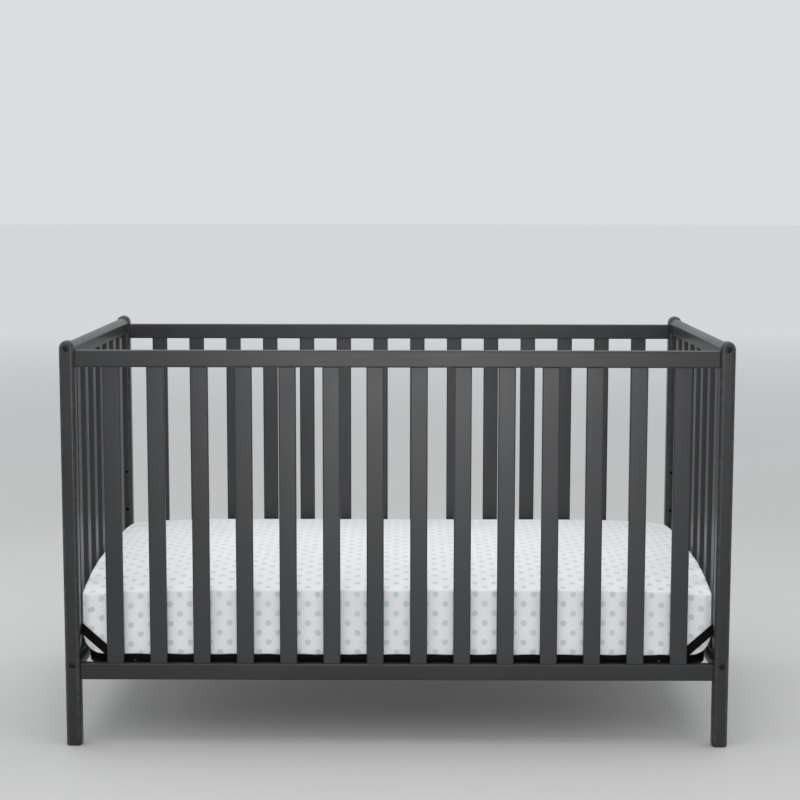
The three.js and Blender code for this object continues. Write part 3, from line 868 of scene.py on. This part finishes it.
def make_hangers():
    half = STRAP_WIDTH / 2
    for corner, sx, sy in CORNERS:
        low, high, middle = span(f"hanger_{corner}")
        foot_z = low.z + half
        toe_x = (low.x if sx > 0 else -high.x) + half
        path = [(sx * height_hole_x, height_hole_z), (sx * height_hole_x, height_hole_z - STRAP_TAB),
                (sx * (toe_x + STRAP_FOOT), foot_z), (sx * toe_x, foot_z)]
        mesh = slab(f"hanger_strap_{corner}", strap_outline(path, half), middle.y, high.y - low.y, 1,
                    STRAP_ROUND, 2)
        at = (sx * height_hole_x, 0, height_hole_z)
        mesh = cut(mesh, [drill(1, at, low.y - 0.001, high.y + 0.001, BOLT_SHANK + BORE_FIT)])
        even_normals(settle(mesh, coat, "mattress_support", stands_for=f"hanger_{corner}"))
        inner_face = sy * min(abs(low.y), abs(high.y))
        outer_face = sy * max(abs(low.y), abs(high.y))
        head_face = inner_face - sy * BOLT_HEAD_HEIGHT
        bolt(f"hanger_bolt_{corner}", (at[0], head_face, at[2]), (0, sy, 0), 0.025, "mattress_support")
        for i, share in enumerate((0.15, 0.85)):
            x = sx * (toe_x + STRAP_FOOT * share)
            head = RIVET_HEAD / 2
            dome = [(-0.0022, 0.0003), (-0.0021, head * 0.35), (-0.0017, head * 0.65), (-0.0009, head * 0.9),
                    (0, head), (0.0003, head * 0.99)]
            name = f"hanger_rivet_{i + 1}_{corner}"
            mesh = mesh_from(name, *turned((x, outer_face, foot_z), (0, -sy, 0), dome, 24))
            settle(mesh, oxide, "mattress_support", 50)


# ---- Mattress and sheet ----
def perimeter(half_x, half_y, radius, pitch, corner_steps):
    """Base points and outward directions round a rounded rectangle, anticlockwise from the +X side."""
    bases, normals = [], []
    cx, cy = half_x - radius, half_y - radius
    corners = np.array(((cx, -cy), (cx, cy), (-cx, cy), (-cx, -cy)))
    for quarter in range(4):
        start, end = corners[quarter], corners[(quarter + 1) % 4]
        steps = max(2, int(round(float(np.linalg.norm(end - start)) / pitch)))
        turn = math.pi / 2 * quarter
        for i in range(steps):
            bases.append(start + (end - start) * i / steps)
            normals.append((math.cos(turn), math.sin(turn)))
        for i in range(corner_steps):
            angle = turn + math.pi / 2 * i / corner_steps
            bases.append(end)
            normals.append((math.cos(angle), math.sin(angle)))
    return np.array(bases), np.array(normals)


def ripple(x, y, seed):
    """A smooth wandering value from -1 to 1 over the plan."""
    rng = np.random.RandomState(seed)
    total = np.zeros_like(x)
    for _ in range(7):
        fx, fy = rng.uniform(-14, 14, 2)
        total += np.sin(fx * x + fy * y + rng.uniform(0, 2 * math.pi))
    return total / 4.5


def cushion(half_x, half_y, height, hem, pitch, corner_steps, top_rows):
    """Rings of points over a crowned cushion, from the middle of its top down and `hem` in underneath.

    Also the number of the crease's ring, and the perimeter that the rings follow.
    """
    bases, normals = perimeter(half_x, half_y, MATTRESS_CORNER, pitch, corner_steps)
    inner = np.array((half_x - MATTRESS_CORNER, half_y - MATTRESS_CORNER))

    def plan(inset):
        if inset <= MATTRESS_CORNER:
            return bases + normals * (MATTRESS_CORNER - inset)
        return bases * np.maximum((np.array((half_x, half_y)) - inset) / inner, 0.0)

    def top(points):
        u, v = np.abs(points[:, 0] / half_x), np.abs(points[:, 1] / half_y)
        front, rear, ends, corners = MATTRESS_CROWN
        side = np.where(points[:, 1] < 0, front, rear)
        return height - side * v ** 3 - ends * u ** 10 - corners * u ** 8 * v ** 3

    rings = []

    def add(inset, heights):
        rings.append(np.column_stack((plan(inset), np.broadcast_to(heights, len(bases)))))

    for i in range(top_rows + 1):
        inset = MATTRESS_CREASE + (half_y - MATTRESS_CREASE) * (1 - i / top_rows)
        add(inset, top(plan(inset)))
    crease = rings[-1][:, 2]
    for turn in np.linspace(0, math.pi / 2, 6)[1:]:
        add(MATTRESS_CREASE * (1 - math.sin(turn)), crease - MATTRESS_CREASE * (1 - math.cos(turn)))
    shoulder = rings[-1][:, 2]
    for share in np.linspace(0, 1, 13)[1:]:
        add(0.0, shoulder + share * (MATTRESS_UNDER - shoulder))
    for turn in np.linspace(0, math.pi / 2, 7)[1:]:
        add(MATTRESS_UNDER * (1 - math.cos(turn)), MATTRESS_UNDER * (1 - math.sin(turn)))
    for share in np.linspace(0, 1, 14)[1:]:
        add(MATTRESS_UNDER + (hem - MATTRESS_UNDER) * share, 0.0)
    rings = np.array(rings)
    rings[:, :, 2] = tucked(rings, half_x, half_y)
    return rings, top_rows, bases, normals


def tucked(rings, half_x, half_y):
    """Heights once the underside is drawn up in a round towards both ends, most at the corners."""
    x, y, z = np.moveaxis(rings, 2, 0)
    radius = MATTRESS_TUCK[0] + MATTRESS_TUCK[1] * np.abs(y / half_y) ** 4
    short = np.clip(radius - (half_x - np.abs(x)), 0, radius)
    rise = radius - np.sqrt(radius ** 2 - short ** 2)
    share = np.clip(1 - z / 0.110, 0, 1)
    return z + rise * share ** 1.2


def inflate(mesh, cap, voxel):
    """Swells a closed mesh as stuffed cloth does, by simulation, with no point moving further than cap."""
    scene = bpy.context.scene
    pad = bpy.data.objects.new("swelling", mesh)
    scene.collection.objects.link(pad)
    remesh = pad.modifiers.new("remesh", "REMESH")
    remesh.mode = "VOXEL"
    remesh.voxel_size = voxel
    bpy.context.view_layer.update()
    fine = bpy.data.meshes.new_from_object(pad.evaluated_get(bpy.context.evaluated_depsgraph_get()))
    pad.modifiers.clear()
    pad.data = fine
    rest = np.array([v.co for v in fine.vertices])
    cloth = pad.modifiers.new("cloth", "CLOTH")
    cloth.settings.use_pressure = True
    cloth.settings.uniform_pressure_force = 4
    cloth.settings.quality = 4
    cloth.settings.effector_weights.gravity = 0
    for step in range(1, 21):
        scene.frame_set(step)
    swollen = pad.evaluated_get(bpy.context.evaluated_depsgraph_get()).to_mesh()
    now = np.array([v.co for v in swollen.vertices])
    pad.modifiers.clear()
    scene.frame_set(1)
    move = now - rest
    length = np.linalg.norm(move, axis=1)
    move *= (np.minimum(length, cap) / np.maximum(length, 1e-9))[:, None]
    fine.vertices.foreach_set("co", (rest + move).ravel())
    bpy.data.objects.remove(pad)
    return fine


def make_mattress():
    """The foam block in its ticking, swollen by cloth simulation and pressed flat underneath."""
    low, high, _ = span("fitted_sheet")
    slack = 0.006
    rings = cushion(high.x - slack, high.y - slack, high.z - low.z - 2 * slack, high.y - 0.06, 0.03, 6, 12)[0]
    rings[:, :, 2] += low.z + 0.003
    start = mesh_from("mattress_block", *skin(list(rings)))
    mesh = inflate(start, slack - SHEET_THICKNESS - 0.0012, 0.009)
    co = np.array([v.co for v in mesh.vertices])
    co[:, 2] = np.maximum(co[:, 2], low.z + 0.002)
    mesh.vertices.foreach_set("co", co.ravel())
    mesh.update()
    mesh.name = "mattress_foam"
    piece = settle(mesh, canvas, "mattress", 180, "mattress_core")
    smooth = piece.modifiers.new("smooth", "SMOOTH")
    smooth.iterations = 3
    smooth.factor = 0.5
    return piece


def make_sheet(foam):
    """The fitted sheet, laid over the foam: a top, four sides and a gathered hem underneath."""
    low, high, _ = span("fitted_sheet")
    co, crease, bases, normals = cushion(high.x, high.y, high.z - low.z, SHEET_HEM, 0.010, 16, 30)
    steps = np.linalg.norm(np.diff(co, axis=0), axis=2)
    steps[:crease] = 0
    lengths = np.vstack((np.zeros(len(bases)), np.cumsum(steps, axis=0)))
    drape(co, crease, bases, normals, high.z - low.z)
    co[:, :, 2] += low.z
    verts, faces = skin(list(co), caps=(False, False))
    mesh = mesh_from("dotted_fitted_sheet", verts, faces)
    unfold(mesh, co, lengths, crease, bases, normals)
    bm = bmesh.new()
    bm.from_mesh(mesh)
    bmesh.ops.remove_doubles(bm, verts=bm.verts, dist=1e-5)
    bmesh.ops.recalc_face_normals(bm, faces=bm.faces)
    bm.to_mesh(mesh)
    bm.free()
    piece = settle(mesh, cotton, "mattress", 180, "fitted_sheet")
    solid = piece.modifiers.new("thickness", "SOLIDIFY")
    solid.thickness = SHEET_THICKNESS
    solid.offset = -1
    tape = make_hem(co[-1])


def drape(co, crease, bases, normals, height):
    """Small waves on top, sides pulled in between the corners, and gathers where those are drawn under."""
    x, y, z = np.moveaxis(co, 2, 0)
    half_x, half_y = np.abs(x).max(), np.abs(y).max()
    corner_pull = np.abs(normals[:, 0] * normals[:, 1]) * 2
    below = (np.arange(len(co)) > crease)[:, None]
    share = np.clip(z / height, 0, 1)
    upright = np.sin(np.pi * share) * below
    long_side = np.abs(normals[:, 1]) > np.abs(normals[:, 0])
    along = np.where(long_side, bases[:, 0] / half_x, bases[:, 1] / half_y)
    waist = (1 - along ** 4) * (1 - corner_pull)
    gathers = corner_pull * np.sin(np.arctan2(normals[:, 1], normals[:, 0]) * 44)
    push = -0.0018 * upright * waist - 0.0005 * upright * (1 + ripple(x * 1.7, y * 1.7 + z * 2, 5))
    push -= 0.0008 * (1 - share) ** 1.6 * (1 + gathers) * corner_pull * below
    z += (0.0005 * ripple(x, y, 3) - 0.0006) * ~below
    hem_waves = np.sin(np.arange(len(bases)) * 0.9)
    z += 0.0006 * (1 + hem_waves) * (share < 0.012) * below
    x += normals[:, 0] * push
    y += normals[:, 1] * push


def unfold(mesh, co, lengths, crease, bases, normals):
    """Cloth coordinates: the top lies flat, each side hangs from it as a flap, and each corner is a seam."""
    layer = mesh.uv_layers.new(name="cloth")
    count = len(bases)
    inner = MATTRESS_CORNER - MATTRESS_CREASE
    edge = bases + normals * inner
    for polygon in mesh.polygons:
        columns = sorted({v % count for v in polygon.vertices})
        if columns[-1] - columns[0] > 1:
            columns = [columns[-1], columns[-1]]
        middle = normals[columns[0]] + normals[columns[-1]]
        flap = 1 if abs(middle[1]) > abs(middle[0]) else 0
        for loop in polygon.loop_indices:
            row, column = divmod(mesh.loops[loop].vertex_index, count)
            uv = co[row, column, :2].copy()
            if row > crease:
                n = normals[column]
                lean = math.atan2(n[1 - flap], abs(n[flap]))
                uv = edge[column].copy()
                uv[1 - flap] += inner * (lean - n[1 - flap]) * min(lengths[row, column] / 0.03, 1.0)
                outward = n[flap] if abs(n[flap]) > 1e-9 else middle[flap]
                uv[flap] += math.copysign(lengths[row, column], outward)
            layer.data[loop].uv = uv


def make_hem(edge):
    """A gathered elastic tape along the sheet's free edge."""
    steps = np.arange(3)[None, :, None] / 3
    path = (edge[:, None] + (np.roll(edge, -1, 0) - edge)[:, None] * steps).reshape(-1, 3)
    path[:, 2] += 0.0016 + 0.0005 * np.sin(np.arange(len(path)) * 1.15)
    mesh = mesh_from("sheet_elastic_hem", *tube(path, HEM_TAPE / 3, 8, loop=True))
    return settle(mesh, elastic, "mattress", 180)


# ---- Studio ----
def make_studio():
    """A pale floor that runs off to the horizon."""
    angle = np.arange(96) * 2 * math.pi / 96
    rings = [np.column_stack((radius * np.cos(angle), radius * np.sin(angle), np.full(96, -0.0005)))
             for radius in (0.02, 2, 6, 20, 60)]
    verts, faces = skin(rings, caps=(True, False))
    mesh = mesh_from("studio_floor", verts, [tuple(reversed(face)) for face in faces])
    mesh.materials.append(pale_floor())
    floor = bpy.data.objects.new("studio_floor", mesh)
    bpy.context.scene.collection.objects.link(floor)


def soft_light(name, place, target, size, watts, colour=(1, 1, 1)):
    lamp = bpy.data.lights.new(name, "AREA")
    lamp.shape = "RECTANGLE"
    lamp.size, lamp.size_y = size
    lamp.energy = watts
    lamp.color = colour
    holder = bpy.data.objects.new(name, lamp)
    holder.location = place
    holder.rotation_euler = (Vector(target) - Vector(place)).to_track_quat("-Z", "Y").to_euler()
    holder.visible_camera = False
    bpy.context.scene.collection.objects.link(holder)


def make_lights():
    soft_light("overhead", (0, -0.1, 3.6), (0, 0, 0.45), (4.5, 3.5), 70, (1, 0.99, 0.97))
    soft_light("high_front", (-0.9, -3.6, 3.0), (0, 0, 0.45), (3.0, 2.0), 25, (1, 0.99, 0.98))
    soft_light("level_front", (0.1, -4.6, 0.6), (0, 0, 0.6), (1.8, 1.3), 36)
    soft_light("left_window", (-3.9, 0.8, 1.7), (0, 0, 0.5), (2.2, 2.0), 22, (0.96, 0.98, 1))
    soft_light("right_fill", (3.9, 0.2, 1.7), (0, 0, 0.5), (2.2, 2.0), 18)
    world = bpy.data.worlds.new("studio_air")
    world.use_nodes = True
    world.node_tree.nodes["Background"].inputs["Color"].default_value = (0.95, 0.975, 1.0, 1)
    world.node_tree.nodes["Background"].inputs["Strength"].default_value = 0.74
    bpy.context.scene.world = world
    bpy.context.scene.view_settings.view_transform = "Standard"


def make_camera():
    """The photographed view: from the front, a little above the top rail, looking slightly down."""
    lens = bpy.data.cameras.new("view")
    lens.sensor_width = 36.0
    lens.lens = 79.97
    lens.clip_end = 100.0
    camera = bpy.data.objects.new("view", lens)
    turn = Matrix.Rotation(math.radians(0.254), 4, "Z")
    tilt = Matrix.Rotation(math.radians(90 - 6.689), 4, "X")
    roll = Matrix.Rotation(math.radians(0.077), 4, "Z")
    camera.matrix_world = Matrix.Translation((0.0222, -4.0201, 1.1627)) @ turn @ tilt @ roll
    bpy.context.scene.collection.objects.link(camera)
    bpy.context.scene.camera = camera


make_camera()
make_lights()
make_studio()

paint = [satin_paint(f"charcoal_paint_{'xyz'[axis]}", axis) for axis in range(3)]
coat = powder_coat()
oxide = black_oxide()
canvas = ticking()
cotton = dotted_cotton()
elastic = elastic_tape()

for corner, sx, sy in CORNERS:
    make_post(corner, sx, sy)
make_side_rails()
make_side_slats()
for end in ("left", "right"):
    make_end(end)
make_fasteners()
make_support_frame()
make_deck()
make_hangers()
make_sheet(make_mattress())
